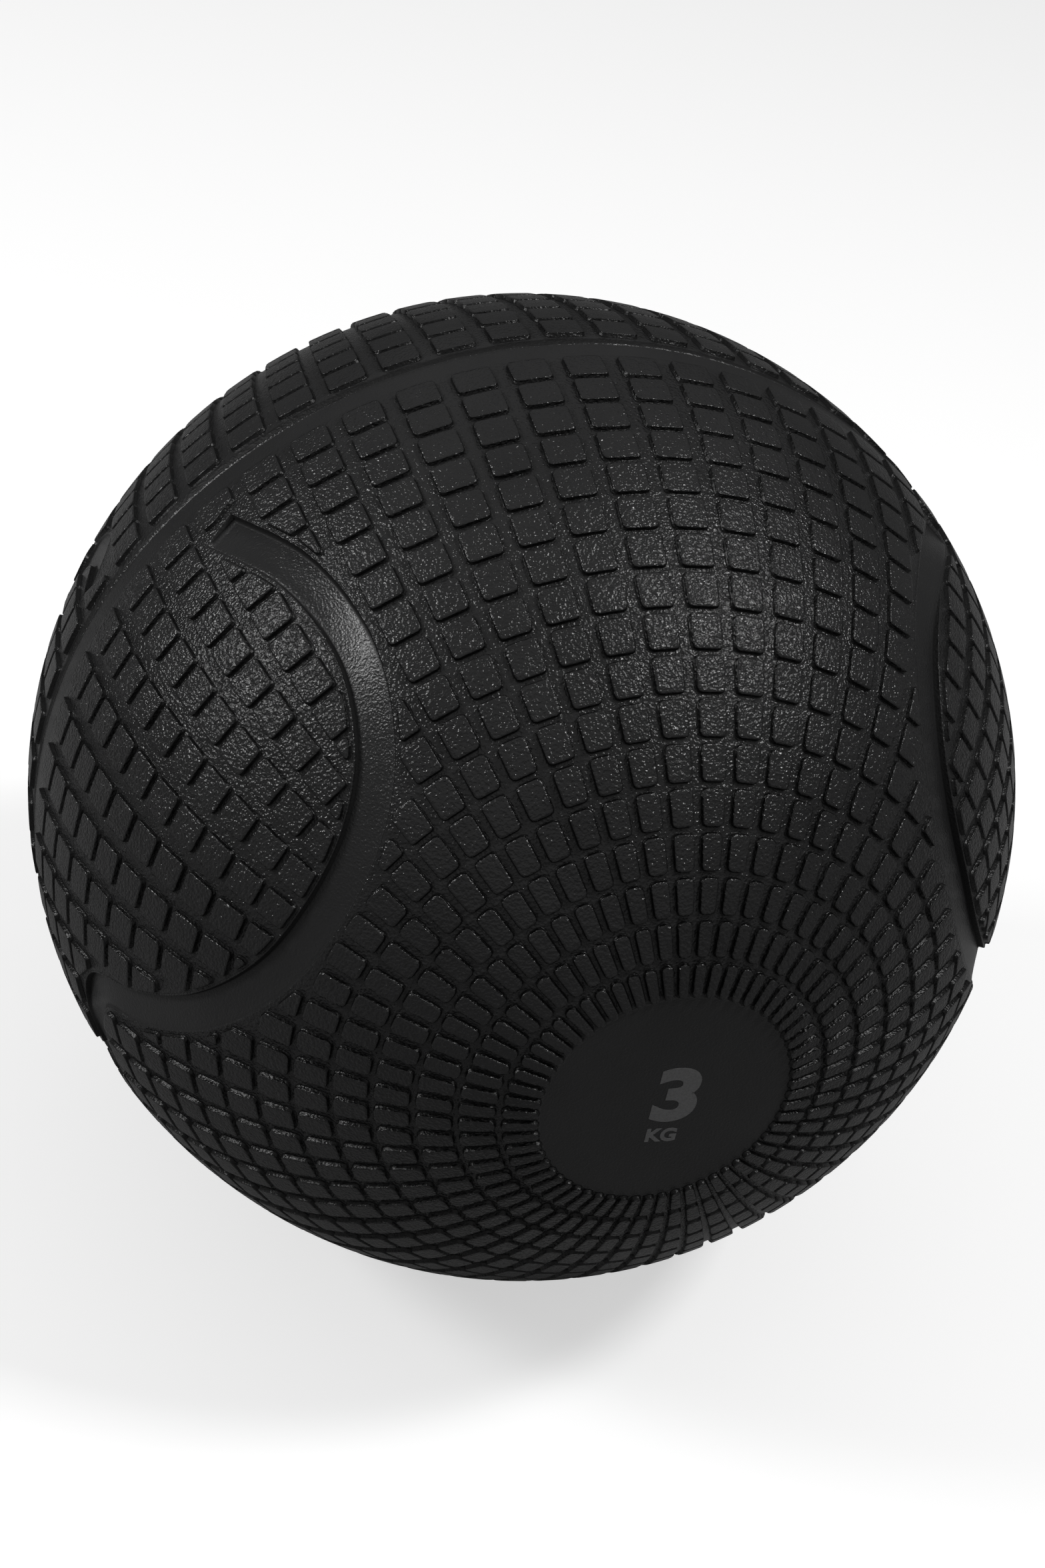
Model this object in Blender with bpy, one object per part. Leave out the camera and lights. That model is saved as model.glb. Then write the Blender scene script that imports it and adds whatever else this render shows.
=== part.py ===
"""A 3 kg rubber medicine ball, 230 mm across, as the nested moulded pieces it is made of.

Frame: the origin is the ball's centre. The weight disc faces -Y, the valve faces +Y, the two
moulded halves meet on the XZ plane, and +Z runs up the mirror plane of the finger grips.

Both halves are drawn about their own pole at -Y. The rear half is then turned half a turn about X.
A profile point is (radius from the Y axis, height towards the pole). On the sphere, "around" is
the angle about the Y axis from +Z towards -X, and "polar" is the angle from the pole, in degrees.
"""

import math

import bmesh
import bpy
from mathutils import Vector

MM = 0.001

# The ball and its tread
BALL_RADIUS = 115.0 * MM  # over the tops of the tread blocks
TREAD_HEIGHT = 1.0 * MM
BASE_RADIUS = BALL_RADIUS - TREAD_HEIGHT  # the skin between the blocks
DISC_POLAR = 13.3  # where the flat disc at each pole cuts the base sphere
DISC_HEIGHT = BASE_RADIUS * math.cos(math.radians(DISC_POLAR))
TREAD_START_POLAR = 13.6
FRONT_TREAD_END_POLAR = 86.4  # a plain band runs from here to the parting line
REAR_TREAD_END_POLAR = 89.05  # this half's tread runs almost to the parting line
TREAD_END_SLOPE = 0.25  # degrees that the last block's end wall leans over

# Walls, from the outside in
FIT_GAP = 0.3 * MM  # between the two halves at the parting line
COVER_INNER_RADIUS = 107.5 * MM
CARCASS_OUTER_RADIUS = 106.9 * MM
CARCASS_INNER_RADIUS = 98.5 * MM
WINDING_OUTER_RADIUS = 98.1 * MM
WINDING_INNER_RADIUS = 97.1 * MM
BLADDER_OUTER_RADIUS = 96.7 * MM
BLADDER_INNER_RADIUS = 95.2 * MM

# The valve, through the wall at the rear pole
WALL_BORE_RADIUS = 5.1 * MM
SEAT_STEM_RADIUS = 4.8 * MM
SEAT_TOP = DISC_HEIGHT - 0.4 * MM
SEAT_FLANGE_RADIUS = 12.0 * MM
SEAT_FLANGE_BOTTOM = 92.2 * MM
SEAT_BORE_RADIUS = 2.6 * MM
SEAT_POCKET_RADIUS = 3.9 * MM
SEAT_POCKET_TOP = 100.0 * MM
SEAT_POCKET_BOTTOM = 97.0 * MM
SEAT_OUTLET_RADIUS = 1.5 * MM
CORE_RADIUS = 2.25 * MM
CORE_BULB_RADIUS = 3.5 * MM
CORE_TOP = SEAT_TOP - 0.5 * MM
NEEDLE_RADIUS = 0.45 * MM
NEEDLE_LEAD_RADIUS = 1.4 * MM
CHAMFER = 1.0 * MM  # both ways, on the valve's pocket and bulb

# A finger grip: an arch over the finger tips that ends in a small hook
GRIP_PATH = [
    (45.8, 81.3),
    (40.3, 69.5),
    (38.9, 58.5),
    (43.2, 49.0),
    (52.5, 43.2),
    (66.0, 41.3),
    (80.0, 43.5),
    (91.5, 50.6),
    (97.6, 60.0),
    (100.6, 68.0),
    (107.5, 71.6),
    (114.3, 72.4),
    (117.8, 77.0),
    (115.2, 82.0),
]  # (around, polar) along the middle of the groove
GRIP_HALF_WIDTH = 2.0  # degrees
GRIP_MARGIN = 1.0  # degrees of plain skin on each side of the groove
GRIP_DEPTH = 1.3 * MM  # below the skin, at the groove's walled side
GRIP_WALL_LEAN = 0.1  # degrees
GRIP_SECTIONS = 40
CUTTER_PROUD = 1.5 * MM
REAR_GRIP_STRETCH = 1.0325  # the rear tread's longer pitch carries its grips with it

COVER_STEPS = 48
INNER_STEPS = 30
VALVE_STEPS = 20
TREAD_RINGS = 10
INNER_RING_ANGLE = 11.25  # degrees, shared by every nested wall so that the gaps stay even
SHARP_ANGLE = math.radians(30)


def clear_scene():
    for obj in list(bpy.data.objects):
        bpy.data.objects.remove(obj, do_unlink=True)


def material(name, colour, roughness):
    made = bpy.data.materials.new(name)
    made.use_nodes = True
    shader = made.node_tree.nodes["Principled BSDF"]
    shader.inputs["Base Color"].default_value = (*colour, 1.0)
    shader.inputs["Roughness"].default_value = roughness
    shader.inputs["Metallic"].default_value = 0.0
    return made


def add_object(name, mesh_builder, paint=None, rear=False):
    bmesh.ops.recalc_face_normals(mesh_builder, faces=mesh_builder.faces[:])
    mesh = bpy.data.meshes.new(name)
    mesh_builder.to_mesh(mesh)
    mesh_builder.free()
    if paint:
        mesh.materials.append(paint)
    mesh.shade_smooth()
    mesh.set_sharp_from_angle(angle=SHARP_ANGLE)
    obj = bpy.data.objects.new(name, mesh)
    if rear:
        obj.rotation_euler.x = math.pi
    bpy.context.scene.collection.objects.link(obj)
    return obj


def bridge(builder, first, second):
    """Faces between two rings of one size, or from a ring to an apex."""
    if len(first) == 1 and len(second) == 1:
        return
    steps = max(len(first), len(second))
    for i in range(steps):
        j = (i + 1) % steps
        corners = [first[i % len(first)], first[j % len(first)]]
        corners += [second[j % len(second)], second[i % len(second)]]
        builder.faces.new(list(dict.fromkeys(corners)))


def turned(profile, steps):
    """A closed solid turned about the Y axis. A profile that starts on the axis also ends on it."""
    builder = bmesh.new()
    rings = []
    for radius, height in profile:
        if radius == 0:
            rings.append([builder.verts.new((0, -height, 0))])
            continue
        ring = []
        for i in range(steps):
            turn = 2 * math.pi * i / steps
            ring.append(builder.verts.new((-radius * math.sin(turn), -height, radius * math.cos(turn))))
        rings.append(ring)
    for first, second in zip(rings, rings[1:]):
        bridge(builder, first, second)
    if profile[0][0] > 0:
        bridge(builder, rings[-1], rings[0])
    return builder


def on_sphere(radius, polar):
    angle = math.radians(polar)
    return radius * math.sin(angle), radius * math.cos(angle)


def wall_arc(radius, last_polar):
    """Points on a nested wall from its first ring below the pole to the last polar angle."""
    count = round(last_polar / INNER_RING_ANGLE)
    return [on_sphere(radius, INNER_RING_ANGLE * i) for i in range(1, count + 1)]


def half_wall_arc(radius):
    """The same as far as the parting line, where half the gap is left."""
    return wall_arc(radius, 90 - INNER_RING_ANGLE) + [(radius, FIT_GAP / 2)]


def pole_point(radius, bore):
    """Where a wall's sphere meets the axis, or the valve's bore."""
    return bore, math.sqrt(radius**2 - bore**2)


def cover_profile(tread_end, bore):
    tread = []
    for i in range(TREAD_RINGS + 1):
        polar = TREAD_START_POLAR + (tread_end - TREAD_START_POLAR) * i / TREAD_RINGS
        tread.append(on_sphere(BALL_RADIUS, polar))
    disc = [(bore, DISC_HEIGHT), on_sphere(BASE_RADIUS, DISC_POLAR)]
    band = [on_sphere(BASE_RADIUS, tread_end + TREAD_END_SLOPE), (BASE_RADIUS, FIT_GAP / 2)]
    inside = half_wall_arc(COVER_INNER_RADIUS)[::-1] + [pole_point(COVER_INNER_RADIUS, bore)]
    return disc + tread + band + inside


def carcass_profile(bore):
    outside = [pole_point(CARCASS_OUTER_RADIUS, bore)] + half_wall_arc(CARCASS_OUTER_RADIUS)
    inside = half_wall_arc(CARCASS_INNER_RADIUS)[::-1] + [pole_point(CARCASS_INNER_RADIUS, bore)]
    return outside + inside


def full_shell(outer, inner):
    """A whole sphere's wall, drawn about the rear pole, with only the valve's bore open."""
    last_ring = 180 - INNER_RING_ANGLE
    inside = [(0, -inner)] + wall_arc(inner, last_ring)[::-1] + [pole_point(inner, WALL_BORE_RADIUS)]
    outside = [pole_point(outer, WALL_BORE_RADIUS)] + wall_arc(outer, last_ring) + [(0, -outer)]
    return turned(inside + outside, INNER_STEPS)


def sphere_direction(around, polar):
    a, p = math.radians(around), math.radians(polar)
    return Vector((-math.sin(p) * math.sin(a), -math.cos(p), math.sin(p) * math.cos(a)))


def grip_point(controls, t):
    """A point on the sphere, t from 0 to 1 along a smooth curve through the controls."""
    place = t * (len(controls) - 1)
    i = min(int(place), len(controls) - 2)
    s = place - i
    before = controls[i - 1] if i > 0 else 2 * controls[i] - controls[i + 1]
    after = controls[i + 2] if i + 2 < len(controls) else 2 * controls[i + 1] - controls[i]
    start, end = controls[i], controls[i + 1]
    cubic = 3 * (start - end) + after - before
    square = 2 * before - 5 * start + 4 * end - after
    return (start + 0.5 * s * ((end - before) + s * (square + s * cubic))).normalized()


def grip_section():
    """(degrees across the groove, radius): a floor that falls towards the walled side."""
    outer_edge = GRIP_HALF_WIDTH + GRIP_MARGIN
    top = BALL_RADIUS + CUTTER_PROUD
    return [
        (-outer_edge, top),
        (-outer_edge, BASE_RADIUS),
        (-GRIP_HALF_WIDTH, BASE_RADIUS),
        (GRIP_HALF_WIDTH, BASE_RADIUS - GRIP_DEPTH),
        (GRIP_HALF_WIDTH + GRIP_WALL_LEAN, BASE_RADIUS),
        (outer_edge, BASE_RADIUS),
        (outer_edge, top),
    ]


def grip_cutter(name, side, rear):
    """The space of one finger grip. side is 1 on the -X side and -1 for its mirror image."""
    stretch = REAR_GRIP_STRETCH if rear else 1.0
    controls = []
    for around, polar in GRIP_PATH:
        controls.append(sphere_direction(side * around, DISC_POLAR + (polar - DISC_POLAR) * stretch))
    builder = bmesh.new()
    rings = []
    for i in range(GRIP_SECTIONS + 1):
        t = i / GRIP_SECTIONS
        here = grip_point(controls, t)
        ahead = grip_point(controls, min(t + 0.001, 1.0)) - grip_point(controls, max(t - 0.001, 0.0))
        across = side * ahead.cross(here).normalized()
        ring = []
        for degrees, radius in grip_section():
            turn = math.radians(degrees)
            ring.append(builder.verts.new((here * math.cos(turn) + across * math.sin(turn)) * radius))
        rings.append(ring)
    for first, second in zip(rings, rings[1:]):
        bridge(builder, first, second)
    builder.faces.new(rings[0])
    builder.faces.new(rings[-1])
    cutter = add_object(name, builder, rear=rear)
    cutter.hide_render = True
    cutter.display_type = "WIRE"
    return cutter


def cut(obj, cutter):
    modifier = obj.modifiers.new(cutter.name, "BOOLEAN")
    modifier.operation = "DIFFERENCE"
    modifier.solver = "EXACT"
    modifier.object = cutter


def cover(name, paint, tread_end, bore, rear):
    obj = add_object(name, turned(cover_profile(tread_end, bore), COVER_STEPS), paint, rear)
    for side, word in ((1, "left"), (-1, "right")):
        cut(obj, grip_cutter(f"{name}_{word}_grip_cutter", side, rear))
    return obj


def carcass_half(name, paint, bore, rear):
    return add_object(name, turned(carcass_profile(bore), INNER_STEPS), paint, rear)


def valve_seat(paint):
    """A rubber stem through the whole wall, with a flange bonded inside the bladder."""
    profile = [
        (SEAT_STEM_RADIUS, SEAT_TOP),
        (SEAT_STEM_RADIUS, BLADDER_INNER_RADIUS - 0.6 * MM),
        (SEAT_FLANGE_RADIUS, BLADDER_INNER_RADIUS - 1.45 * MM),
        (SEAT_FLANGE_RADIUS, SEAT_FLANGE_BOTTOM),
        (SEAT_OUTLET_RADIUS, SEAT_FLANGE_BOTTOM),
        (SEAT_OUTLET_RADIUS, SEAT_POCKET_BOTTOM - CHAMFER),
        (SEAT_BORE_RADIUS, SEAT_POCKET_BOTTOM - CHAMFER),
        (SEAT_POCKET_RADIUS, SEAT_POCKET_BOTTOM),
        (SEAT_POCKET_RADIUS, SEAT_POCKET_TOP),
        (SEAT_BORE_RADIUS, SEAT_POCKET_TOP + CHAMFER),
        (SEAT_BORE_RADIUS, SEAT_TOP),
    ]
    return add_object("valve_seat", turned(profile, VALVE_STEPS), paint, rear=True)


def valve_core(paint):
    """The self-sealing plug, held in the seat's pocket by its bulb, with the needle's way through."""
    clearance = 0.4 * MM
    profile = [
        (CORE_RADIUS, CORE_TOP),
        (CORE_RADIUS, SEAT_POCKET_TOP + CHAMFER - clearance),
        (CORE_BULB_RADIUS, SEAT_POCKET_TOP - clearance),
        (CORE_BULB_RADIUS, SEAT_POCKET_BOTTOM + clearance),
        (CORE_RADIUS, SEAT_POCKET_BOTTOM + clearance - CHAMFER),
        (NEEDLE_RADIUS, SEAT_POCKET_BOTTOM + clearance - CHAMFER),
        (NEEDLE_RADIUS, CORE_TOP - CHAMFER),
        (NEEDLE_LEAD_RADIUS, CORE_TOP),
    ]
    return add_object("valve_core", turned(profile, VALVE_STEPS), paint, rear=True)


def build():
    clear_scene()
    tread_rubber = material("tread_rubber", (0.020, 0.020, 0.021), 0.55)
    core_rubber = material("carcass_rubber", (0.045, 0.043, 0.042), 0.8)
    nylon = material("nylon", (0.62, 0.60, 0.54), 0.7)
    butyl = material("butyl", (0.030, 0.030, 0.032), 0.45)
    valve_rubber = material("valve_rubber", (0.060, 0.060, 0.062), 0.6)

    cover("front_cover", tread_rubber, FRONT_TREAD_END_POLAR, 0, rear=False)
    cover("rear_cover", tread_rubber, REAR_TREAD_END_POLAR, WALL_BORE_RADIUS, rear=True)
    carcass_half("front_carcass", core_rubber, 0, rear=False)
    carcass_half("rear_carcass", core_rubber, WALL_BORE_RADIUS, rear=True)
    add_object("nylon_winding", full_shell(WINDING_OUTER_RADIUS, WINDING_INNER_RADIUS), nylon, rear=True)
    add_object("bladder", full_shell(BLADDER_OUTER_RADIUS, BLADDER_INNER_RADIUS), butyl, rear=True)
    valve_seat(valve_rubber)
    valve_core(valve_rubber)


build()
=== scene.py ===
"""The looks of the medicine ball: block tread, finger grips, weight disc, valve and parting line.

Each half of the cover is one closed rubber skin. Its outside is drawn on a flat chart, where a
point's distance from the middle is its angle from the half's pole, and each chart point then gets
its height above or below the plain skin. All lengths are in metres and all angles in degrees.
"""

import math
import random

import bpy
import numpy as np
from mathutils import Matrix, Vector
from mathutils.geometry import delaunay_2d_cdt


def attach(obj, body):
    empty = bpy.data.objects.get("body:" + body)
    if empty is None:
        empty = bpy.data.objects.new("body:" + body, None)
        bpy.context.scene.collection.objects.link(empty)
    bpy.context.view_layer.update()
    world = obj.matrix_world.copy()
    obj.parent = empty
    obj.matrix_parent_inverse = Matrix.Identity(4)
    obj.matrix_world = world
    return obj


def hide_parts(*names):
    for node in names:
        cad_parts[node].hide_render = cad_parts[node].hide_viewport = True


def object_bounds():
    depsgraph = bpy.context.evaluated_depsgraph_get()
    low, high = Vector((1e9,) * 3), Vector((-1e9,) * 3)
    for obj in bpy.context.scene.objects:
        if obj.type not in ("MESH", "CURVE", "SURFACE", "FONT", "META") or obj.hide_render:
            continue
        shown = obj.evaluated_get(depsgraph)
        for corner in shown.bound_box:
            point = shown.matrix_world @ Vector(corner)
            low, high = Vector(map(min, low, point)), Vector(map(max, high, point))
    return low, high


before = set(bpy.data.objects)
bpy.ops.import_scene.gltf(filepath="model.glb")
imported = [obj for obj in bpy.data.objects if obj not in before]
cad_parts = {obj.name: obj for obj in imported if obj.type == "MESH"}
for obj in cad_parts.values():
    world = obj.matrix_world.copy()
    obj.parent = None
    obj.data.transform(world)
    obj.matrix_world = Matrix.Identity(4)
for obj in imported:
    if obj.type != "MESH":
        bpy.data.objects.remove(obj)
cad_low, cad_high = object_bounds()

MM = 0.001
DEG = math.pi / 180
HERE = 1e-9  # closer than this is the same place

# The cover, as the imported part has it
SKIN = 114.0 * MM  # radius of the plain skin between the blocks
BLOCK = 0.97 * MM  # height of a block
DISC_POLAR = 13.3
DISC_HEIGHT = SKIN * math.cos(DISC_POLAR * DEG)
INNER = 107.5 * MM
BORE = 5.1 * MM
BORE_STEPS = 64
EDGE_POLAR = 89.9998  # the halves meet at the parting line, a hair apart
EDGE_LEAN = 0.25  # inside, the meeting faces lean past the parting line, so no light gets through

# The tread
COLUMNS = 60
COLUMN_PITCH = 360 / COLUMNS
ROWS = 17
TREAD_START = 13.42
FRONT_PITCH, REAR_PITCH = 4.31, 4.45
BLOCK_WIDTH = 4.25  # of the column's pitch
ROW_GAP = 0.6
CORNER = 1.0 * MM
CUT_CORNER = 0.62 * MM  # of the blocks that a grip cuts
MIN_CORNER = 0.4 * MM
SHORTEST_SIDE = 2e-5
LONG_SIDE = 2.5 * MM  # a block's side longer than this has a point in its middle
ARC_POINTS = 3  # of a block's corner
UNEVEN_AROUND = 0.02
UNEVEN_TOP = 0.05  # mm
SMALLEST_PIECE = 5.0 * MM * MM  # of what a grip leaves of a block
NARROWEST_PIECE = 0.85 * MM  # its half width

# A finger grip's middle line, (around, polar), and its groove
GRIP_PATH = [
    (45.8, 81.3),
    (40.3, 69.5),
    (38.9, 58.5),
    (43.2, 49.0),
    (52.5, 43.2),
    (66.0, 41.3),
    (80.0, 43.5),
    (91.5, 50.6),
    (97.6, 60.0),
    (100.6, 68.0),
    (107.5, 71.6),
    (114.3, 72.4),
    (117.8, 77.0),
    (115.2, 82.0),
]
GRIP_SAMPLES = 150
GRIP_HALF = 2.0
GRIP_CLEAR_OUTER = 2.5  # tread stops this far from the middle line
GRIP_CLEAR_INNER = 2.62
END_CLEAR = 0.9  # and this far past the end
GRIP_REACH = 22 * MM  # a block looks for a grip this far off
MOST_CUTS = 7  # straight cuts that follow a grip's curve along one block
FLOOR_PLAIN = 0.8  # the groove's floor keeps a little of the tread's grain
REAR_STRETCH = 1.0325
# The groove's depth in mm at each side, (place along the grip, depth)
OUTER_DEPTH = [
    (0, 1.3),
    (0.10, 1.2),
    (0.19, 0.12),
    (0.60, 0.08),
    (0.71, 0.5),
    (0.80, 0.6),
    (0.88, 0.35),
    (1, 0.35),
]
INNER_DEPTH = [
    (0, 0.05),
    (0.05, 0.08),
    (0.17, 1.3),
    (0.72, 1.3),
    (0.785, 0.5),
    (0.83, 0.7),
    (0.88, 1.3),
    (1, 1.3),
]
LIP = 0.07 * MM  # the raised edge beside a deep groove
FLOOR_SAG = 0.16 * MM
DEEP_END = 0.3 * MM  # a groove deeper than this ends in a wall darkened with painted shade

# Rings of the disc, and of the parting line. A parting ring is (polar, steps round, share of the
# flash's height, turn of the flash in degrees, mm below the skin, plain, painted shade, whether
# fixed). The painted shade draws a dark line along the parting line.
DISC_RINGS = ((13 * MM, 48), (20 * MM, 120), (25.2 * MM, 120))
MOUTH = ((0.7, 0.0), (0.25, 0.05), (0.06, 0.22), (0.0, 0.5))  # mm (out from the bore, down)
RIM_STEPS = 240
EDGE_STEPS = 480
FLASH = 0.30 * MM
FRONT_PARTING = (
    (87.0, 240, 0, 0, 0, 1.0, 0.0, True),
    (88.2, 240, 0, 0, 0, 1.0, 0.0, True),
    (89.40, EDGE_STEPS, 0, 0, 0, 1.0, 0.0, True),
    (89.54, EDGE_STEPS, 0.55, 0, 0, 0.4, 0.2, False),
    (89.66, EDGE_STEPS, 1, 0, 0, 0.0, 0.2, False),
    (89.80, EDGE_STEPS, 0.5, 0.7, 0, 0.0, 1.0, False),
    (EDGE_POLAR, EDGE_STEPS, 0, 0, 0.35, 0.2, 1.0, False),
)
REAR_PARTING = (
    (88.9, EDGE_STEPS, 0, 0, 0, 0.6, 0.0, True),
    (89.15, EDGE_STEPS, -0.4, 0, 0, 0.4, 0.8, False),
    (89.5, EDGE_STEPS, 0, 0, 0.25, 0.4, 1.0, False),
    (EDGE_POLAR, EDGE_STEPS, 0, 0, 0.45, 0.4, 1.0, False),
)
INSIDE_RINGS = (
    (88.6, 240),
    (85.0, 120),
    (75, 72),
    (65, 72),
    (55, 60),
    (45, 48),
    (35, 40),
    (25, 28),
    (15, 20),
)

# Looks
TREAD_GRAIN = 0.36 * MM  # depth of the rubber's grain
INK_HALF = 0.035 * MM  # half the thickness of the printed letters
INK_LIFT = 0.03 * MM  # of their middle above the disc
MARK_LEAN = -2.3  # the mark stands a little off the grips' mirror plane

# Stage, lights and camera. Each direction is from the ball's centre, which is at the origin.
FLOOR_HALF = 6.0
LIGHT_DISTANCE = 1.5
KEY_RIGHT = (0.465, -0.283, 0.839)
KEY_LEFT = (-0.843, 0.117, 0.525)
FILL_FROM = (-0.12, -0.38, 0.92)
FILL_RANGE = (-0.5, 0.9, 0.04, 0.37)  # cosine to FILL_FROM from and to, strength from and to
PAPER_WHITE = 0.93
CAMERA_PLACE = Vector((-1.43515, -3.82555, 2.68669)) * 115 * MM
CAMERA_AZIMUTH, CAMERA_ELEVATION, CAMERA_ROLL = -20.5714, 33.2545, 9.644
CAMERA_LENS = 54.33


# ---------------------------------------------------------------- geometry on the ball


def direction(around, polar):
    a, p = around * DEG, polar * DEG
    return Vector((-math.sin(p) * math.sin(a), -math.cos(p), math.sin(p) * math.cos(a)))


def chart_of(v):
    """Chart point of a direction, for the half whose pole is -Y."""
    polar = math.degrees(math.acos(max(-1.0, min(1.0, -v.y))))
    flat = math.hypot(v.x, v.z)
    return (0.0, 0.0) if flat < HERE else (polar * v.x / flat, polar * v.z / flat)


def lift(x, y, radius):
    """The place on the ball of a chart point."""
    polar = math.hypot(x, y)
    if polar < HERE:
        return Vector((0, -radius, 0))
    s = math.sin(polar * DEG) / polar
    return Vector((x * s, -math.cos(polar * DEG), y * s)) * radius


def ramp(table, t):
    """A smooth curve through (place, value) pairs, level at each pair."""
    for (t0, v0), (t1, v1) in zip(table, table[1:]):
        if t <= t1:
            s = (t - t0) / (t1 - t0)
            return v0 + (v1 - v0) * s * s * (3 - 2 * s)
    return table[-1][1]


class Chart:
    """Collects chart points with their radius, finish and whether they keep the ball's normal.

    plain is 1 on the satin surfaces, 0 on the tread's grain. The shade value is painted shade:
    1 on a steep side and at its foot, where little light gets in, and the colour is darkened there.
    """

    def __init__(self):
        self.points, self.edges = [], []
        self.radius, self.plain, self.wall, self.fixed = [], [], [], []

    def add(self, xy, radius, plain=0.0, wall=0.0, fixed=False):
        self.points.append(Vector(xy))
        self.radius.append(radius)
        self.plain.append(plain)
        self.wall.append(wall)
        self.fixed.append(fixed)
        return len(self.points) - 1

    def line(self, ids, closed=True):
        self.edges += list(zip(ids, ids[1:]))
        if closed:
            self.edges.append((ids[-1], ids[0]))
        return ids


# ---------------------------------------------------------------- tread blocks


def clip(polygon, normal, offset):
    """The part of a convex polygon where normal . point >= offset."""
    kept = []
    for p, q in zip(polygon, polygon[1:] + polygon[:1]):
        a = p[0] * normal[0] + p[1] * normal[1] - offset
        b = q[0] * normal[0] + q[1] * normal[1] - offset
        if a >= 0:
            kept.append(p)
        if (a >= 0) != (b >= 0):
            s = a / (a - b)
            kept.append((p[0] + (q[0] - p[0]) * s, p[1] + (q[1] - p[1]) * s))
    return kept


def shrink(polygon, by):
    """A convex anticlockwise polygon moved in by a distance on every side."""
    result = polygon
    for p, q in zip(polygon, polygon[1:] + polygon[:1]):
        d = (q[0] - p[0], q[1] - p[1])
        length = math.hypot(*d)
        if length < 1e-7:
            continue
        n = (-d[1] / length, d[0] / length)
        result = clip(result, n, n[0] * p[0] + n[1] * p[1] + by)
        if len(result) < 3:
            return []
    tidy = []
    for p in result:
        if not tidy or math.dist(p, tidy[-1]) > SHORTEST_SIDE:
            tidy.append(p)
    while len(tidy) > 1 and math.dist(tidy[0], tidy[-1]) < SHORTEST_SIDE:
        tidy.pop()
    return tidy if len(tidy) >= 3 else []


def area(polygon):
    return 0.5 * sum(p[0] * q[1] - q[0] * p[1] for p, q in zip(polygon, polygon[1:] + polygon[:1]))


def round_out(core, radius):
    """The outline at a distance outside a convex core, with round corners."""
    outline = []
    n = len(core)
    for i in range(n):
        before, here, after = core[i - 1], core[i], core[(i + 1) % n]
        a0 = math.atan2(-(here[0] - before[0]), here[1] - before[1])
        a1 = math.atan2(-(after[0] - here[0]), after[1] - here[1])
        while a1 < a0:
            a1 += 2 * math.pi
        for k in range(ARC_POINTS):
            a = a0 + (a1 - a0) * k / (ARC_POINTS - 1)
            outline.append((here[0] + radius * math.cos(a), here[1] + radius * math.sin(a)))
        if math.dist(here, after) > LONG_SIDE:
            middle = ((here[0] + after[0]) / 2, (here[1] + after[1]) / 2)
            outline.append((middle[0] + radius * math.cos(a1), middle[1] + radius * math.sin(a1)))
    return outline


def add_block(chart, polygon, to_chart, rng, corner=CORNER):
    """One rounded tread block, on a convex outline in metres."""
    core = shrink(polygon, corner)
    while not core and corner > MIN_CORNER:
        corner *= 0.72
        core = shrink(polygon, corner)
    if not core:
        return
    top = BLOCK - rng.uniform(0, UNEVEN_TOP) * MM
    edge = min(1.0, corner / (0.5 * MM))
    # (radius round the core, height, painted shade, fixed), from the channel up to the top.
    # The painted shade darkens the block's steep side and its foot.
    loops = (
        (corner + 0.26 * MM, 0.0, 0.0, True),
        (corner + 0.13 * MM, 0.10 * top, 1.0, False),
        (corner - 0.01 * MM * edge, 0.80 * top, 0.9, False),
        (corner - 0.11 * MM * edge, 0.94 * top, 0.30, False),
        (corner - 0.50 * MM * edge, top, 0.0, True),
    )
    for radius, height, wall, fixed in loops:
        loop = [
            chart.add(to_chart(u, v), SKIN + height, wall=wall, fixed=fixed)
            for u, v in round_out(core, max(radius, 0.02 * MM))
        ]
        chart.line(loop)
    middle = [sum(c) / len(core) for c in zip(*core)]
    chart.add(to_chart(*middle), SKIN + top, fixed=True)


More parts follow.
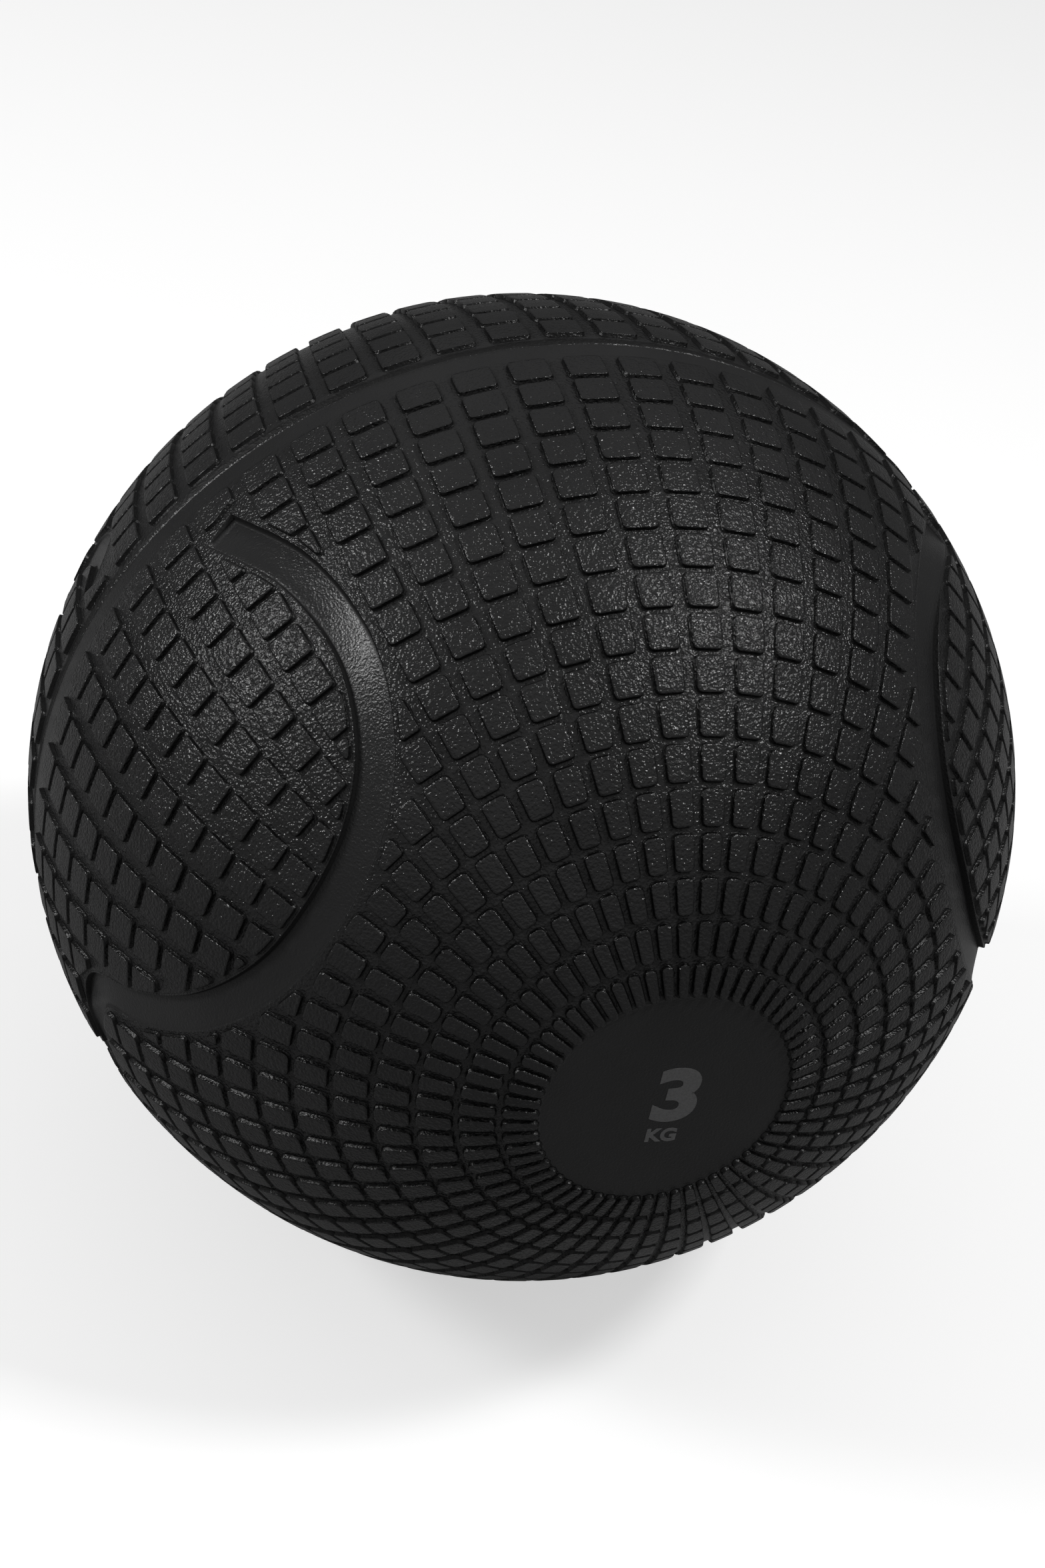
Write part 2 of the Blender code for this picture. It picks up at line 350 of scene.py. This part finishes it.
def grip_cuts(polygon, curve, ends, inner_side):
    """The pieces of a block's outline that a grip leaves, each a convex polygon."""

    def nearest(p):
        """(distance, nearest point, direction there, place along) of the curve."""
        best = None
        for i, (a, b) in enumerate(zip(curve, curve[1:])):
            d = (b[0] - a[0], b[1] - a[1])
            along = ((p[0] - a[0]) * d[0] + (p[1] - a[1]) * d[1]) / (d[0] ** 2 + d[1] ** 2)
            s = max(0.0, min(1.0, along))
            q = (a[0] + d[0] * s, a[1] + d[1] * s)
            away = math.dist(p, q)
            if best is None or away < best[0]:
                best = (away, q, d, i + s)
        return best

    def probes(shape):
        found = list(shape)
        for p, q in zip(shape, shape[1:] + shape[:1]):
            for s in (0.25, 0.5, 0.75):
                found.append((p[0] + (q[0] - p[0]) * s, p[1] + (q[1] - p[1]) * s))
        return found

    spread = [nearest(p) for p in probes(polygon)]
    if min(n[0] for n in spread) >= max(GRIP_CLEAR_OUTER, GRIP_CLEAR_INNER) * DEG * SKIN:
        return [polygon]
    at_start = ends[0] and min(n[3] for n in spread) < 0.5
    at_end = ends[1] and max(n[3] for n in spread) > len(curve) - 1.5
    pieces = []
    if at_start or at_end:
        tip, inner = (curve[0], curve[1]) if at_start else (curve[-1], curve[-2])
        d = (tip[0] - inner[0], tip[1] - inner[1])
        length = math.hypot(*d)
        n = (d[0] / length, d[1] / length)
        beyond = clip(polygon, n, n[0] * tip[0] + n[1] * tip[1] + END_CLEAR * DEG * SKIN)
        if len(beyond) >= 3:
            pieces.append(beyond)
    for side in (1, -1):
        clear = (GRIP_CLEAR_INNER if side == inner_side else GRIP_CLEAR_OUTER) * DEG * SKIN
        shape = polygon
        for turn in range(MOST_CUTS):
            worst = None
            for p in probes(shape):
                away, q, d, place = nearest(p)
                length = math.hypot(*d)
                n = (-d[1] / length * side, d[0] / length * side)
                signed = (p[0] - q[0]) * n[0] + (p[1] - q[1]) * n[1]
                short = clear - (away if signed > 0 else -away)
                if worst is None or short > worst[0]:
                    worst = (short, q, n)
            if worst[0] < 0.05 * MM:
                break
            if turn == 0:  # the first cut runs past the part of the block that is furthest in
                centre = [sum(c) / len(shape) for c in zip(*shape)]
                _, q, d, _ = nearest(centre)
                length = math.hypot(*d)
                n = (-d[1] / length * side, d[0] / length * side)
            else:
                _, q, n = worst
            shape = clip(shape, n, n[0] * q[0] + n[1] * q[1] + clear)
            if len(shape) < 3:
                break
        if len(shape) >= 3:
            pieces.append(shape)
    pieces = [p for p in pieces if area(p) > SMALLEST_PIECE and shrink(p, NARROWEST_PIECE)]
    if (at_start or at_end) and pieces:
        pieces = [max(pieces, key=area)]
    return pieces


def add_tread(chart, pitch, grips, rng):
    """Every block of one half, less what its two grips take."""
    scale = DEG * SKIN
    for row in range(ROWS):
        start = TREAD_START + row * pitch
        end = start + pitch - ROW_GAP
        middle = (start + end) / 2
        half_length = (end - start) / 2 * scale
        for column in range(COLUMNS):
            around = (column + 0.5) * COLUMN_PITCH + rng.uniform(-UNEVEN_AROUND, UNEVEN_AROUND)

            def to_chart(u, v, around=around, middle=middle):
                polar = middle + v / scale
                a = (around + u / (scale * math.sin(polar * DEG))) * DEG
                return (-polar * math.sin(a), polar * math.cos(a))

            wide = [BLOCK_WIDTH / 2 * scale * math.sin(p * DEG) for p in (start, end)]
            # u runs with the angle around, v away from the pole, and the chart keeps their turn
            outline = [
                (-wide[0], -half_length),
                (wide[0], -half_length),
                (wide[1], half_length),
                (-wide[1], half_length),
            ]
            shapes = [outline]
            for side, grip in zip((1, -1), grips):
                near = []
                for k, (a, p) in enumerate(grip):
                    turn = (a - around + 180) % 360 - 180
                    v = (p - middle) * scale
                    u = turn * scale * math.sin(p * DEG)
                    if abs(v) < GRIP_REACH and abs(u) < GRIP_REACH:
                        near.append((k, (u, v)))
                if len(near) < 2:
                    continue
                run = [q for _, q in near]
                ends = (near[0][0] == 0, near[-1][0] == len(grip) - 1)
                shapes = [piece for shape in shapes for piece in grip_cuts(shape, run, ends, -side)]
            for shape in shapes:
                add_block(chart, shape, to_chart, rng, CORNER if shape is outline else CUT_CORNER)


# ---------------------------------------------------------------- grips


def grip_line(side, stretch):
    """Points and cross directions along a grip's middle line."""
    controls = [direction(side * a, DISC_POLAR + (p - DISC_POLAR) * stretch) for a, p in GRIP_PATH]

    def at(t):
        place = t * (len(controls) - 1)
        i = min(int(place), len(controls) - 2)
        s = place - i
        start, end = controls[i], controls[i + 1]
        before = controls[i - 1] if i > 0 else 2 * start - end
        after = controls[i + 2] if i + 2 < len(controls) else 2 * end - start
        cubic = 3 * (start - end) + after - before
        square = 2 * before - 5 * start + 4 * end - after
        return (start + 0.5 * s * ((end - before) + s * (square + s * cubic))).normalized()

    line = []
    for k in range(GRIP_SAMPLES + 1):
        t = k / GRIP_SAMPLES
        here = at(t)
        ahead = (at(min(t + 0.004, 1.0)) - at(max(t - 0.004, 0.0))).normalized()
        line.append((t, here, side * ahead.cross(here).normalized(), ahead))
    return line


def grip_rows(t):
    """The groove at t along the grip, from its outer to its inner side.

    Each row is (degrees across, height, plain, painted shade). The painted shade darkens the
    groove's deep sides, their feet, and thin lines on the skin beside them.
    """
    low = -ramp(OUTER_DEPTH, t) * MM
    deep = -ramp(INNER_DEPTH, t) * MM
    half = GRIP_HALF * (1.0 - 0.45 * max(0.0, (t - 0.93) / 0.07) ** 2)
    # Painted shade on each side, full where that side is 1 mm deep or more.
    painted_shade_low, painted_shade_deep = min(1.0, -low / MM), min(1.0, -deep / MM)
    bead = LIP * min(1.0, -low / (0.4 * MM))
    rows = [
        (-half - 0.38, 0.0, 0.0, 0.0),
        (-half - 0.28, 0.0, 0.0, 0.3 * painted_shade_low),
        (-half - 0.20, bead, 0.0, 0.0),
        (-half - 0.11, bead, 0.2, 0.1),
        (-half - 0.04, 0.04 * low, 0.5, 0.7 * painted_shade_low),
        (-half + 0.01, 0.92 * low, FLOOR_PLAIN, painted_shade_low),
        (-half + 0.15, low, FLOOR_PLAIN, painted_shade_low),
    ]
    for s in (-0.78, -0.3, 0.2, 0.65):
        u = (s + 1) / 2
        sag = FLOOR_SAG * math.sin(math.pi * u)
        rows.append((s * half, low + (deep - low) * u - sag, FLOOR_PLAIN, 0.0))
    rim = LIP * min(1.0, -deep / (1.0 * MM))
    rows += [
        (half - 0.26, deep, FLOOR_PLAIN, 0.2 * painted_shade_deep),
        (half - 0.14, deep, FLOOR_PLAIN, painted_shade_deep),
        (half - 0.02, 0.90 * deep, FLOOR_PLAIN, painted_shade_deep),
        (half + 0.03, 0.10 * deep, 0.5, painted_shade_deep),
        (half + 0.10, rim, 0.2, 0.1),
        (half + 0.22, rim, 0.0, 0.0),
        (half + 0.30, 0.0, 0.0, 0.4 * painted_shade_deep),
        (half + 0.38, 0.0, 0.0, 0.0),
    ]
    return rows


def add_grip(chart, line):
    """A groove as a sheet of rows and columns, with two more rows up the blunt face at each end.
    The deep part of each end gets painted shade.
    """

    def across_chart(here, across, s):
        return chart_of((here * math.cos(s * DEG) + across * math.sin(s * DEG)).normalized())

    sheet = []
    for k, (t, here, across, _) in enumerate(line):
        at_end = k in (0, GRIP_SAMPLES)
        # Each point's shade value is painted shade, full on the deep part of the two end rows.
        row = [
            chart.add(
                across_chart(here, across, s),
                SKIN + height,
                plain=plain,
                wall=1.0 if at_end and height < -DEEP_END else shade,
                fixed=abs(height) < HERE,
            )
            for s, height, plain, shade in grip_rows(t)
        ]
        sheet.append(row)
    for column in zip(*sheet):
        chart.line(list(column), closed=False)
    for end, step in ((0, -1), (-1, 1)):
        t, here, across, ahead = line[end]
        chart.line(sheet[end], closed=False)
        # The first cap row gets painted shade where the end is deep.
        for back, share in ((0.05, 0.03), (0.20, 0.0)):
            tip = (here + ahead * (step * back * DEG)).normalized()
            cap = [
                chart.add(
                    across_chart(tip, across, s),
                    SKIN + min(height, 0.0) * share,
                    plain=0.4,
                    wall=0.6 if share and height < -DEEP_END else 0.0,
                    fixed=share == 0.0,
                )
                for s, height, _, _ in grip_rows(t)
            ]
            chart.line(cap, closed=False)


# ---------------------------------------------------------------- one half of the cover


def ring(chart, polar, count, radius, plain, fixed=False, wall=0.0):
    """A ring about the pole. Its radius is a number, or a function of the angle round."""
    ids = []
    for k in range(count):
        a = 360 * k / count * DEG
        r = radius(k * 360 / count) if callable(radius) else radius
        ids.append(chart.add((-polar * math.sin(a), polar * math.cos(a)), r, plain, wall, fixed))
    return chart.line(ids)


def flash(seed, size):
    """The height of the trimmed flash round the parting line, as a function of the angle."""
    rng = random.Random(seed)
    waves = [
        (rng.choice((7, 11, 17, 29, 43, 67, 97)), rng.uniform(0, 360), rng.uniform(0.4, 1))
        for _ in range(9)
    ]

    def height(a):
        rough = sum(w * math.sin((n * a + ph) * DEG) for n, ph, w in waves) / len(waves)
        return size * max(0.15, 0.62 + 0.9 * rough)

    return height


def disc_radius(polar):
    """Distance from the ball's centre to the flat disc."""
    return DISC_HEIGHT / math.cos(polar * DEG)


def disc_polar(radius):
    return math.degrees(math.atan(radius / DISC_HEIGHT))


def add_disc(chart, bore):
    """The flat disc at the pole. The ring at the bore's mouth, where there is one, is returned."""
    mouth = None
    if bore:
        for out, drop in MOUTH:
            polar = disc_polar(bore + out * MM)
            mouth = ring(chart, polar, BORE_STEPS, disc_radius(polar) - drop * MM, 1.0)
    else:
        chart.add((0, 0), disc_radius(0), 1.0)
    for radius, steps in DISC_RINGS:
        polar = disc_polar(radius)
        ring(chart, polar, steps, disc_radius(polar), 1.0)
    polar = DISC_POLAR - 0.14
    ring(chart, polar, RIM_STEPS, disc_radius(polar), 1.0)
    ring(chart, DISC_POLAR - 0.02, RIM_STEPS, SKIN - 0.02 * MM, 0.9)
    return mouth


def add_grips(chart, stretch):
    """Both grips. Their middle lines are returned as lists of (around, polar)."""
    lines = [grip_line(side, stretch) for side in (1, -1)]
    for line in lines:
        add_grip(chart, line)

    def around_polar(v):
        return math.degrees(math.atan2(-v.x, v.z)), math.degrees(math.acos(-v.y))

    return [[around_polar(here) for _, here, _, _ in line[::2]] for line in lines]


def add_parting_line(chart, rings, seed):
    """The rings up to the parting line. The last one is returned."""
    lip = flash(seed, FLASH)
    for polar, steps, share, turn, drop, plain, wall, fixed in rings:

        def radius(a, share=share, turn=turn, drop=drop):
            return SKIN + share * lip(a + turn) - drop * MM

        # The ring's shade value is painted shade.
        border = ring(chart, polar, steps, radius, plain, fixed, wall)
    return border


def inside_polar(radius):
    return math.degrees(math.asin(radius / INNER))


def inside_chart(bore, rear):
    """The smooth inner skin, with its ring at the bore and its border."""
    chart = Chart()
    border_polar = EDGE_POLAR + (-EDGE_LEAN if rear else EDGE_LEAN)
    border = ring(chart, border_polar, EDGE_STEPS, INNER, 1.0)
    for polar, count in INSIDE_RINGS:
        ring(chart, polar, count, INNER, 1.0)
    mouth = None
    if bore:
        mouth = ring(chart, inside_polar(bore), BORE_STEPS, INNER, 1.0)
    else:
        chart.add((0, 0), INNER, 1.0)
    return chart, border, mouth


def triangles(chart, bare, hole):
    """The chart lifted on to the ball, and open at the pole as far as the hole's polar angle.

    bare is the radius of a place that no chart point gives, where two lines cross. Returns the
    places, the faces, the chart point behind each place, and each chart point's new number.
    """
    points, _, faces, origin, _, _ = delaunay_2d_cdt(chart.points, chart.edges, [], 0, 1e-7)
    source = [ids[0] if ids else None for ids in origin]
    radii = [bare if k is None else chart.radius[k] for k in source]
    places = [lift(p.x, p.y, radius) for p, radius in zip(points, radii)]
    kept = []
    for face in faces:
        middle = [sum(points[i][axis] for i in face) / len(face) for axis in (0, 1)]
        if math.hypot(*middle) >= hole * 0.999:
            kept.append(tuple(face))
    return places, kept, source, {k: i for i, ids in enumerate(origin) for k in ids}


def half_cover(name, pitch, stretch, bore, rear, seed):
    """One half of the cover as a closed skin."""
    chart = Chart()
    mouth = add_disc(chart, bore)
    grips = add_grips(chart, stretch)
    add_tread(chart, pitch, grips, random.Random(seed))
    border = add_parting_line(chart, REAR_PARTING if rear else FRONT_PARTING, seed)
    places, faces, source, numbers = triangles(chart, SKIN, disc_polar(bore))

    inner, inner_border, inner_mouth = inside_chart(bore, rear)
    inner_places, inner_faces, _, inner_numbers = triangles(inner, INNER, inside_polar(bore))
    base = len(places)
    places += inner_places
    faces += [tuple(base + i for i in reversed(face)) for face in inner_faces]

    def join(outer_ids, inner_ids, flip=False):
        n = len(outer_ids)
        for i in range(n):
            j = (i + 1) % n
            outer = (numbers[outer_ids[j]], numbers[outer_ids[i]])
            quad = (*outer, base + inner_numbers[inner_ids[i]], base + inner_numbers[inner_ids[j]])
            faces.append(tuple(reversed(quad)) if flip else quad)

    join(border, inner_border)
    if bore:
        join(mouth, inner_mouth, flip=True)

    mesh = bpy.data.meshes.new(name)
    mesh.from_pydata(places, [], faces)
    mesh.update()
    plain = [chart.plain[k] if k is not None else 0.0 for k in source] + [1.0] * len(inner_places)
    wall = [chart.wall[k] if k is not None else 0.0 for k in source] + [0.0] * len(inner_places)
    # The shade values go on the mesh as painted shade, which darkens the colour.
    for word, values in (("plain", plain), ("wall", wall)):
        mesh.attributes.new(word, "FLOAT", "POINT").data.foreach_set("value", values)
    mesh.shade_smooth()
    mesh.set_sharp_from_angle(angle=75 * DEG)
    normals = [(0.0, 0.0, 0.0)] * len(places)  # worked out from the faces
    for i, k in enumerate(source):
        if k is not None and chart.fixed[k]:
            normals[i] = places[i].normalized()
    if rear:
        mesh.transform(Matrix.Rotation(math.pi, 4, "X"))
        normals = [(n[0], -n[1], -n[2]) for n in normals]
    mesh.normals_split_custom_set_from_vertices(normals)
    obj = bpy.data.objects.new(name, mesh)
    bpy.context.scene.collection.objects.link(obj)
    return obj


# ---------------------------------------------------------------- materials


class Nodes:
    """A short way to write node trees."""

    def __init__(self, name):
        self.material = bpy.data.materials.new(name)
        self.material.use_nodes = True
        self.tree = self.material.node_tree
        self.shader = self.tree.nodes["Principled BSDF"]

    def add(self, kind, inputs=None, **settings):
        """A new node. An input is either another node's output or a plain value."""
        node = self.tree.nodes.new(kind)
        for key, value in settings.items():
            setattr(node, key, value)
        for key, value in (inputs or {}).items():
            if isinstance(value, bpy.types.NodeSocket):
                self.tree.links.new(value, node.inputs[key])
            else:
                node.inputs[key].default_value = value
        return node

    def math(self, operation, a, b, c=None):
        inputs = {0: a, 1: b} if c is None else {0: a, 1: b, 2: c}
        return self.add("ShaderNodeMath", inputs, operation=operation).outputs[0]

    def mix(self, factor, a, b):
        return self.add("ShaderNodeMix", {0: factor, 2: a, 3: b}, data_type="FLOAT").outputs[0]

    def attribute(self, name):
        return self.add("ShaderNodeAttribute", attribute_name=name).outputs["Fac"]

    def place(self):
        return self.add("ShaderNodeTexCoord").outputs["Object"]

    def colours(self, factor, stops):
        node = self.add("ShaderNodeValToRGB", {"Fac": factor})
        elements = node.color_ramp.elements
        while len(elements) < len(stops):
            elements.new(0.5)
        for element, (place, colour) in zip(elements, stops):
            element.position = place
            element.color = (*colour, 1.0)
        return node.outputs["Color"]

    def noise(self, scale, detail=2.0, roughness=0.5, distortion=0.0):
        inputs = {
            "Vector": self.place(),
            "Scale": scale,
            "Detail": detail,
            "Roughness": roughness,
            "Distortion": distortion,
        }
        return self.add("ShaderNodeTexNoise", inputs).outputs["Fac"]

    def cells(self, scale):
        inputs = {"Vector": self.place(), "Scale": scale, "Smoothness": 0.35}
        return self.add("ShaderNodeTexVoronoi", inputs, feature="SMOOTH_F1").outputs["Distance"]

    def bump(self, height, distance, strength=1.0):
        inputs = {"Height": height, "Strength": strength, "Distance": distance}
        self.link(self.add("ShaderNodeBump", inputs).outputs["Normal"], "Normal")

    def link(self, output, socket):
        self.tree.links.new(output, self.shader.inputs[socket])

    def set(self, **values):
        for key, value in values.items():
            self.shader.inputs[key.replace("_", " ")].default_value = value


def tread_rubber():
    """Moulded rubber: leathery grain on the tread and fine satin grain on the plain surfaces."""
    n = Nodes("tread_rubber_look")
    plain = n.attribute("plain")
    shade = n.attribute("wall")
    wrinkle = n.noise(1500, 2.0, 0.55, 0.25)
    pebble = n.math("MULTIPLY_ADD", n.cells(1350), 0.5, n.math("MULTIPLY", n.cells(2100), 0.28))
    leather = n.math("ADD", n.math("MULTIPLY", wrinkle, 0.6), pebble)
    fine = n.math("MULTIPLY", n.noise(2600, 2.0, 0.55), 0.26)
    pits = n.math("MULTIPLY", n.cells(1900), 0.12)
    smooth = n.math("ADD", fine, pits)
    height = n.mix(n.math("MAXIMUM", plain, n.math("MULTIPLY", shade, 0.45)), leather, smooth)
    n.bump(height, TREAD_GRAIN)
    # The tone varies at random, and painted shade darkens it on steep sides, at their feet, in the
    # grooves and along the parting line; only painted shade reaches the darkest tone.
    lit = n.math("SUBTRACT", n.noise(38, 3.0, 0.6), n.math("MULTIPLY", shade, 0.7))
    tones = [
        (0.0, (0.0015, 0.0015, 0.0016)),
        (0.35, (0.0135, 0.0135, 0.0138)),
        (0.7, (0.0180, 0.0180, 0.0183)),
    ]
    n.link(n.colours(lit, tones), "Base Color")
    rubbed = n.math("MULTIPLY_ADD", n.noise(90, 4.0, 0.65), 0.08, 0.20)
    rough = n.mix(plain, n.math("MULTIPLY_ADD", wrinkle, 0.18, 0.06), rubbed)
    rough = n.math("MULTIPLY_ADD", shade, n.math("MULTIPLY_ADD", plain, 0.55, 0.20), rough)
    n.link(rough, "Roughness")
    n.set(Specular_IOR_Level=0.30)
    return n.material


def core_rubber():
    """The heavy filled rubber of the carcass."""
    n = Nodes("carcass_rubber_look")
    grain = n.noise(260, 4.0, 0.6)
    tones = [(0.25, (0.030, 0.029, 0.028)), (0.75, (0.060, 0.057, 0.055))]
    n.link(n.colours(grain, tones), "Base Color")
    n.link(n.math("MULTIPLY_ADD", grain, 0.2, 0.62), "Roughness")
    n.bump(n.noise(900, 3.0), 0.2 * MM, strength=0.5)
    return n.material


def nylon():
    """Thread wound round and round in three directions."""
    n = Nodes("nylon_look")
    where = n.place()
    strands = None
    for turn in ((0.3, 0.1, 0.0), (1.2, 0.5, 0.4), (0.2, 1.4, 0.9)):
        turned = n.add("ShaderNodeMapping", {"Vector": where, "Rotation": turn}).outputs["Vector"]
        inputs = {"Vector": turned, "Scale": 300.0, "Distortion": 1.5, "Detail": 2.0}
        wave = n.add("ShaderNodeTexWave", inputs).outputs["Fac"]
        strands = wave if strands is None else n.math("MAXIMUM", strands, wave)
    tones = [(0.2, (0.36, 0.34, 0.29)), (0.8, (0.68, 0.66, 0.60))]
    n.link(n.colours(strands, tones), "Base Color")
    n.link(n.math("MULTIPLY_ADD", strands, -0.15, 0.75), "Roughness")
    n.bump(strands, 0.2 * MM, strength=0.6)
    return n.material


def soft_rubber(name, dark, light, rough):
    """The smooth rubber of the bladder and the valve."""
    n = Nodes(name)
    patches = n.noise(120, 4.0, 0.6)
    n.link(n.colours(patches, [(0.3, dark), (0.7, light)]), "Base Color")
    n.link(n.math("MULTIPLY_ADD", patches, 0.18, rough), "Roughness")
    n.bump(n.noise(2600, 2.0), 0.08 * MM, strength=0.4)
    return n.material


def ink():
    """Pad-printed ink, slightly uneven over the rubber's grain."""
    n = Nodes("mark_ink_look")
    speck = n.noise(2600, 3.0, 0.7)
    tones = [(0.35, (0.086, 0.086, 0.087)), (0.6, (0.116, 0.116, 0.117))]
    n.link(n.colours(speck, tones), "Base Color")
    n.link(n.math("MULTIPLY_ADD", speck, 0.15, 0.5), "Roughness")
    n.bump(speck, 0.05 * MM, strength=0.4)
    n.set(Specular_IOR_Level=0.32)
    return n.material


# ---------------------------------------------------------------- the weight mark


def mark(name, words, height, widen, centre, paint):
    """Thin printed letters on the weight disc. centre is (right, up) from the disc's centre."""
    data = bpy.data.curves.new(name, "FONT")
    data.body = words
    data.size = 1.0
    data.offset = 0.04
    data.extrude = 0.004
    data.resolution_u = 8
    data.align_x = "CENTER"
    text = bpy.data.objects.new(name + "_text", data)
    bpy.context.scene.collection.objects.link(text)
    bpy.context.view_layer.update()
    depsgraph = bpy.context.evaluated_depsgraph_get()
    mesh = bpy.data.meshes.new_from_object(text.evaluated_get(depsgraph))
    bpy.data.objects.remove(text)
    mesh.name = name
    co = np.array([v.co for v in mesh.vertices])
    low, high = co.min(0), co.max(0)
    scale = height / (high[1] - low[1])
    middle = (low + high) / 2
    lean = MARK_LEAN * DEG
    right = Vector((math.cos(lean), 0, math.sin(lean)))
    up = Vector((-math.sin(lean), 0, math.cos(lean)))
    place = Vector((0, -DISC_HEIGHT - INK_LIFT, 0)) + right * centre[0] + up * centre[1]
    for v in mesh.vertices:
        x, y = (v.co.x - middle[0]) * scale * widen, (v.co.y - middle[1]) * scale
        out = INK_HALF if v.co.z > middle[2] else -INK_HALF
        v.co = place + right * x + up * y + Vector((0, -out, 0))
    mesh.materials.clear()
    mesh.materials.append(paint)
    obj = bpy.data.objects.new(name, mesh)
    bpy.context.scene.collection.objects.link(obj)
    return obj


# ---------------------------------------------------------------- build


rubber = tread_rubber()
front = half_cover("front_cover_skin", FRONT_PITCH, 1.0, 0.0, rear=False, seed=3)
rear = half_cover("rear_cover_skin", REAR_PITCH, REAR_STRETCH, BORE, rear=True, seed=8)
for piece, node in ((front, "front_cover"), (rear, "rear_cover")):
    piece.data.materials.append(rubber)
    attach(piece, "root")
    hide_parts(node)

mark_paint = ink()
for piece in (
    mark("weight_numeral", "3", 14.3 * MM, 1.19, (2.3 * MM, 1.1 * MM), mark_paint),
    mark("weight_unit", "KG", 3.6 * MM, 1.08, (1.2 * MM, -9.6 * MM), mark_paint),
):
    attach(piece, "root")

for look, nodes in (
    (core_rubber(), ("front_carcass", "rear_carcass")),
    (nylon(), ("nylon_winding",)),
    (soft_rubber("butyl_look", (0.022, 0.022, 0.024), (0.038, 0.038, 0.041), 0.36), ("bladder",)),
    (
        soft_rubber("valve_rubber_look", (0.045, 0.045, 0.047), (0.075, 0.075, 0.078), 0.48),
        ("valve_seat", "valve_core"),
    ),
):
    for node in nodes:
        for material_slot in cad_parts[node].material_slots:
            material_slot.material = look


# ---------------------------------------------------------------- stage, lights, camera


def stage_material():
    """Pale paper to the camera, and dark to the ball, as with black flags round a studio table."""
    n = Nodes("stage_paper")
    tree = n.tree
    path = n.add("ShaderNodeLightPath").outputs["Is Camera Ray"]
    lit = n.add("ShaderNodeBsdfDiffuse", {"Color": (0.62, 0.62, 0.62, 1)})
    glow = n.add("ShaderNodeEmission", {"Color": (1, 1, 1, 1), "Strength": 0.55})
    pale = n.add("ShaderNodeAddShader", {0: lit.outputs[0], 1: glow.outputs[0]})
    dark = n.add("ShaderNodeBsdfDiffuse", {"Color": (0.25, 0.25, 0.25, 1)})
    both = n.add("ShaderNodeMixShader", {0: path, 1: dark.outputs[0], 2: pale.outputs[0]})
    tree.links.new(both.outputs[0], tree.nodes["Material Output"].inputs["Surface"])
    return n.material


def floor():
    mesh = bpy.data.meshes.new("floor")
    size, z = FLOOR_HALF, cad_low.z
    corners = [(-size, -size, z), (size, -size, z), (size, size, z), (-size, size, z)]
    mesh.from_pydata(corners, [], [(0, 1, 2, 3)])
    mesh.materials.append(stage_material())
    obj = bpy.data.objects.new("floor", mesh)
    bpy.context.scene.collection.objects.link(obj)


def softbox(name, towards, size, power):
    """A square lamp that faces the ball."""
    data = bpy.data.lights.new(name, "AREA")
    data.shape = "RECTANGLE"
    data.size = data.size_y = size
    data.energy = power
    obj = bpy.data.objects.new(name, data)
    obj.location = Vector(towards).normalized() * LIGHT_DISTANCE
    obj.rotation_mode = "QUATERNION"
    obj.rotation_quaternion = obj.location.to_track_quat("Z", "Y")
    bpy.context.scene.collection.objects.link(obj)


def studio():
    """Two lamps, a soft fill that is strongest from above, and a white room to the camera."""
    softbox("key_right", KEY_RIGHT, 0.25, 9.5)
    softbox("key_left", KEY_LEFT, 0.36, 10)
    world = bpy.data.worlds.new("studio")
    bpy.context.scene.world = world
    world.use_nodes = True
    tree = world.node_tree
    ambient = tree.nodes["Background"]
    ambient.inputs["Color"].default_value = (1, 1, 1, 1)
    where = tree.nodes.new("ShaderNodeTexCoord")
    facing = tree.nodes.new("ShaderNodeVectorMath")
    facing.operation = "DOT_PRODUCT"
    facing.inputs[1].default_value = FILL_FROM
    tree.links.new(where.outputs["Generated"], facing.inputs[0])
    strength = tree.nodes.new("ShaderNodeMapRange")
    strength.interpolation_type = "SMOOTHSTEP"
    for socket, value in zip(("From Min", "From Max", "To Min", "To Max"), FILL_RANGE):
        strength.inputs[socket].default_value = value
    tree.links.new(facing.outputs["Value"], strength.inputs["Value"])
    tree.links.new(strength.outputs["Result"], ambient.inputs["Strength"])
    seen = tree.nodes.new("ShaderNodeBackground")
    seen.inputs["Color"].default_value = (PAPER_WHITE, PAPER_WHITE, PAPER_WHITE, 1)
    path = tree.nodes.new("ShaderNodeLightPath")
    both = tree.nodes.new("ShaderNodeMixShader")
    tree.links.new(path.outputs["Is Camera Ray"], both.inputs[0])
    tree.links.new(ambient.outputs[0], both.inputs[1])
    tree.links.new(seen.outputs[0], both.inputs[2])
    tree.links.new(both.outputs[0], tree.nodes["World Output"].inputs["Surface"])
    bpy.context.scene.view_settings.view_transform = "Standard"


def camera():
    azimuth, elevation, roll = CAMERA_AZIMUTH * DEG, CAMERA_ELEVATION * DEG, CAMERA_ROLL * DEG
    back = Vector(
        (
            math.sin(azimuth) * math.cos(elevation),
            -math.cos(azimuth) * math.cos(elevation),
            math.sin(elevation),
        )
    )
    level = Vector((math.cos(azimuth), math.sin(azimuth), 0))
    right = math.cos(roll) * level + math.sin(roll) * back.cross(level)
    up = back.cross(right)
    data = bpy.data.cameras.new("camera")
    data.lens = CAMERA_LENS
    data.sensor_width = 36
    data.clip_start, data.clip_end = 0.01, 50
    obj = bpy.data.objects.new("camera", data)
    place = Matrix((right, up, back)).transposed().to_4x4()
    place.translation = CAMERA_PLACE
    obj.matrix_world = place
    bpy.context.scene.collection.objects.link(obj)
    bpy.context.scene.camera = obj


floor()
studio()
camera()
